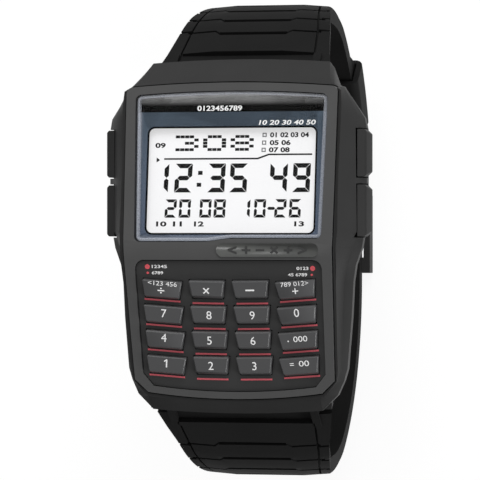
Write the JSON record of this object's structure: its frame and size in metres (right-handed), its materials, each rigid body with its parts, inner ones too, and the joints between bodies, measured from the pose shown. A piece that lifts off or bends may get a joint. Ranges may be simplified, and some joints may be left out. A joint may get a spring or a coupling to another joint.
{
  "type": "calculator wristwatch",
  "caption": "Black resin calculator wristwatch with a pale digital display, sprung side pushers, a sprung keypad and a buckled strap.",
  "frame": {"origin": "centre of the rectangle round the whole watch seen from the front, at the flat face of the buckle that stands on the table", "axes": "+Z out of the dial, +Y towards 12 o'clock, +X towards 3 o'clock"},
  "size_m": [0.0384, 0.0696, 0.0575],
  "materials": {
    "case_resin": "fine satin moulded black resin",
    "bezel_resin": "fine textured dark grey resin",
    "keypad_resin": "fine textured near-black resin",
    "key_resin": "satin dark grey resin with white printed figures",
    "strap_resin": "satin black soft resin",
    "window_glass": "polished mineral glass",
    "mask_print": "slate printed ink",
    "display_glass": "pale grey display cell with dark figures",
    "backlight_white": "milky diffuser",
    "contact_rubber": "layered contact rubber",
    "module_plastic": "natural moulded plastic",
    "board_green": "solder-masked board",
    "chip_black": "moulded black epoxy",
    "bright_steel": "bright stainless steel",
    "brushed_plate": "brushed stainless steel",
    "coil_copper": "enamelled copper wire",
    "contact_brass": "plated brass",
    "seal_rubber": "black seal rubber",
    "mat_rubber": "grey silicone rubber"
  },
  "bodies": {
    "case": {"case_body": "case_resin", "front_bezel": "bezel_resin", "lens": "window_glass", "lens_mask": "mask_print", "lcd_panel": "display_glass", "backlight_panel": "backlight_white", "zebra_strips": "contact_rubber", "module_frame": "module_plastic", "circuit_board": "board_green", "processor_chip": "chip_black", "quartz_crystal": "bright_steel", "boost_coil": "coil_copper", "battery": "bright_steel", "battery_clamp": "brushed_plate", "buzzer_disc": "contact_brass", "buzzer_contact": "contact_brass", "key_mat": "mat_rubber", "keypad_board": "board_green", "keypad_plate": "keypad_resin", "pusher_seals": "seal_rubber", "case_back_gasket": "seal_rubber", "case_back": "brushed_plate", "case_back_screws": "bright_steel", "spring_bar_top": "bright_steel", "spring_bar_bottom": "bright_steel"},
    "key_divide": {"key_divide": "key_resin"},
    "key_multiply": {"key_multiply": "key_resin"},
    "key_minus": {"key_minus": "key_resin"},
    "key_plus": {"key_plus": "key_resin"},
    "key_7": {"key_7": "key_resin"},
    "key_8": {"key_8": "key_resin"},
    "key_9": {"key_9": "key_resin"},
    "key_0": {"key_0": "key_resin"},
    "key_4": {"key_4": "key_resin"},
    "key_5": {"key_5": "key_resin"},
    "key_6": {"key_6": "key_resin"},
    "key_point": {"key_point": "key_resin"},
    "key_1": {"key_1": "key_resin"},
    "key_2": {"key_2": "key_resin"},
    "key_3": {"key_3": "key_resin"},
    "key_equals": {"key_equals": "key_resin"},
    "pusher_upper_right": {"pusher_upper_right": "case_resin", "pusher_clip_upper_right": "bright_steel"},
    "pusher_upper_left": {"pusher_upper_left": "case_resin", "pusher_clip_upper_left": "bright_steel"},
    "pusher_lower_right": {"pusher_lower_right": "case_resin", "pusher_clip_lower_right": "bright_steel"},
    "pusher_lower_left": {"pusher_lower_left": "case_resin", "pusher_clip_lower_left": "bright_steel"},
    "strap_upper": {"strap_upper": "strap_resin", "buckle_pin": "bright_steel"},
    "strap_lower": {"strap_lower": "strap_resin"},
    "buckle_frame": {"buckle_frame": "case_resin"},
    "buckle_tongue": {"buckle_tongue": "bright_steel"},
    "keeper": {"keeper": "strap_resin"}
  },
  "joints": [
    {"name": "key_divide_press", "type": "slide", "parent": "case", "child": "key_divide", "axis": [0, 0.2419, -0.9703], "range_m": [0, 0.00035], "stiffness_N_per_m": 300, "springref_m": -0.0003},
    {"name": "key_multiply_press", "type": "slide", "parent": "case", "child": "key_multiply", "axis": [0, 0.2419, -0.9703], "range_m": [0, 0.00035], "stiffness_N_per_m": 300, "springref_m": -0.0003},
    {"name": "key_minus_press", "type": "slide", "parent": "case", "child": "key_minus", "axis": [0, 0.2419, -0.9703], "range_m": [0, 0.00035], "stiffness_N_per_m": 300, "springref_m": -0.0003},
    {"name": "key_plus_press", "type": "slide", "parent": "case", "child": "key_plus", "axis": [0, 0.2419, -0.9703], "range_m": [0, 0.00035], "stiffness_N_per_m": 300, "springref_m": -0.0003},
    {"name": "key_7_press", "type": "slide", "parent": "case", "child": "key_7", "axis": [0, 0.2419, -0.9703], "range_m": [0, 0.00035], "stiffness_N_per_m": 300, "springref_m": -0.0003},
    {"name": "key_8_press", "type": "slide", "parent": "case", "child": "key_8", "axis": [0, 0.2419, -0.9703], "range_m": [0, 0.00035], "stiffness_N_per_m": 300, "springref_m": -0.0003},
    {"name": "key_9_press", "type": "slide", "parent": "case", "child": "key_9", "axis": [0, 0.2419, -0.9703], "range_m": [0, 0.00035], "stiffness_N_per_m": 300, "springref_m": -0.0003},
    {"name": "key_0_press", "type": "slide", "parent": "case", "child": "key_0", "axis": [0, 0.2419, -0.9703], "range_m": [0, 0.00035], "stiffness_N_per_m": 300, "springref_m": -0.0003},
    {"name": "key_4_press", "type": "slide", "parent": "case", "child": "key_4", "axis": [0, 0.2419, -0.9703], "range_m": [0, 0.00035], "stiffness_N_per_m": 300, "springref_m": -0.0003},
    {"name": "key_5_press", "type": "slide", "parent": "case", "child": "key_5", "axis": [0, 0.2419, -0.9703], "range_m": [0, 0.00035], "stiffness_N_per_m": 300, "springref_m": -0.0003},
    {"name": "key_6_press", "type": "slide", "parent": "case", "child": "key_6", "axis": [0, 0.2419, -0.9703], "range_m": [0, 0.00035], "stiffness_N_per_m": 300, "springref_m": -0.0003},
    {"name": "key_point_press", "type": "slide", "parent": "case", "child": "key_point", "axis": [0, 0.2419, -0.9703], "range_m": [0, 0.00035], "stiffness_N_per_m": 300, "springref_m": -0.0003},
    {"name": "key_1_press", "type": "slide", "parent": "case", "child": "key_1", "axis": [0, 0.2419, -0.9703], "range_m": [0, 0.00035], "stiffness_N_per_m": 300, "springref_m": -0.0003},
    {"name": "key_2_press", "type": "slide", "parent": "case", "child": "key_2", "axis": [0, 0.2419, -0.9703], "range_m": [0, 0.00035], "stiffness_N_per_m": 300, "springref_m": -0.0003},
    {"name": "key_3_press", "type": "slide", "parent": "case", "child": "key_3", "axis": [0, 0.2419, -0.9703], "range_m": [0, 0.00035], "stiffness_N_per_m": 300, "springref_m": -0.0003},
    {"name": "key_equals_press", "type": "slide", "parent": "case", "child": "key_equals", "axis": [0, 0.2419, -0.9703], "range_m": [0, 0.00035], "stiffness_N_per_m": 300, "springref_m": -0.0003},
    {"name": "pusher_upper_right_press", "type": "slide", "parent": "case", "child": "pusher_upper_right", "axis": [-1, 0, 0], "range_m": [0, 0.0005], "stiffness_N_per_m": 400, "springref_m": -0.0004},
    {"name": "pusher_upper_left_press", "type": "slide", "parent": "case", "child": "pusher_upper_left", "axis": [1, 0, 0], "range_m": [0, 0.0005], "stiffness_N_per_m": 400, "springref_m": -0.0004},
    {"name": "pusher_lower_right_press", "type": "slide", "parent": "case", "child": "pusher_lower_right", "axis": [-1, 0, 0], "range_m": [0, 0.0005], "stiffness_N_per_m": 400, "springref_m": -0.0004},
    {"name": "pusher_lower_left_press", "type": "slide", "parent": "case", "child": "pusher_lower_left", "axis": [1, 0, 0], "range_m": [0, 0.0005], "stiffness_N_per_m": 400, "springref_m": -0.0004},
    {"name": "strap_upper_swing", "type": "hinge", "parent": "case", "child": "strap_upper", "pos_m": [0, 0.0218, 0.0493], "axis": [1, 0, 0], "range_deg": [0, 12]},
    {"name": "strap_lower_swing", "type": "hinge", "parent": "case", "child": "strap_lower", "pos_m": [0, -0.0224, 0.0485], "axis": [-1, 0, 0], "range_deg": [0, 12], "deforming": ["strap_lower"]},
    {"name": "buckle_frame_turn", "type": "hinge", "parent": "strap_upper", "child": "buckle_frame", "pos_m": [0, 0.0059, 0.00365], "axis": [1, 0, 0], "range_deg": [0, 70]},
    {"name": "buckle_tongue_turn", "type": "hinge", "parent": "buckle_frame", "child": "buckle_tongue", "pos_m": [0, 0.0059, 0.00365], "axis": [1, 0, 0], "range_deg": [0, 25]},
    {"name": "keeper_slide_round", "type": "hinge", "parent": "strap_upper", "child": "keeper", "pos_m": [0, 0.006, 0.03275], "axis": [1, 0, 0], "range_deg": [-12, 12]}
  ]
}
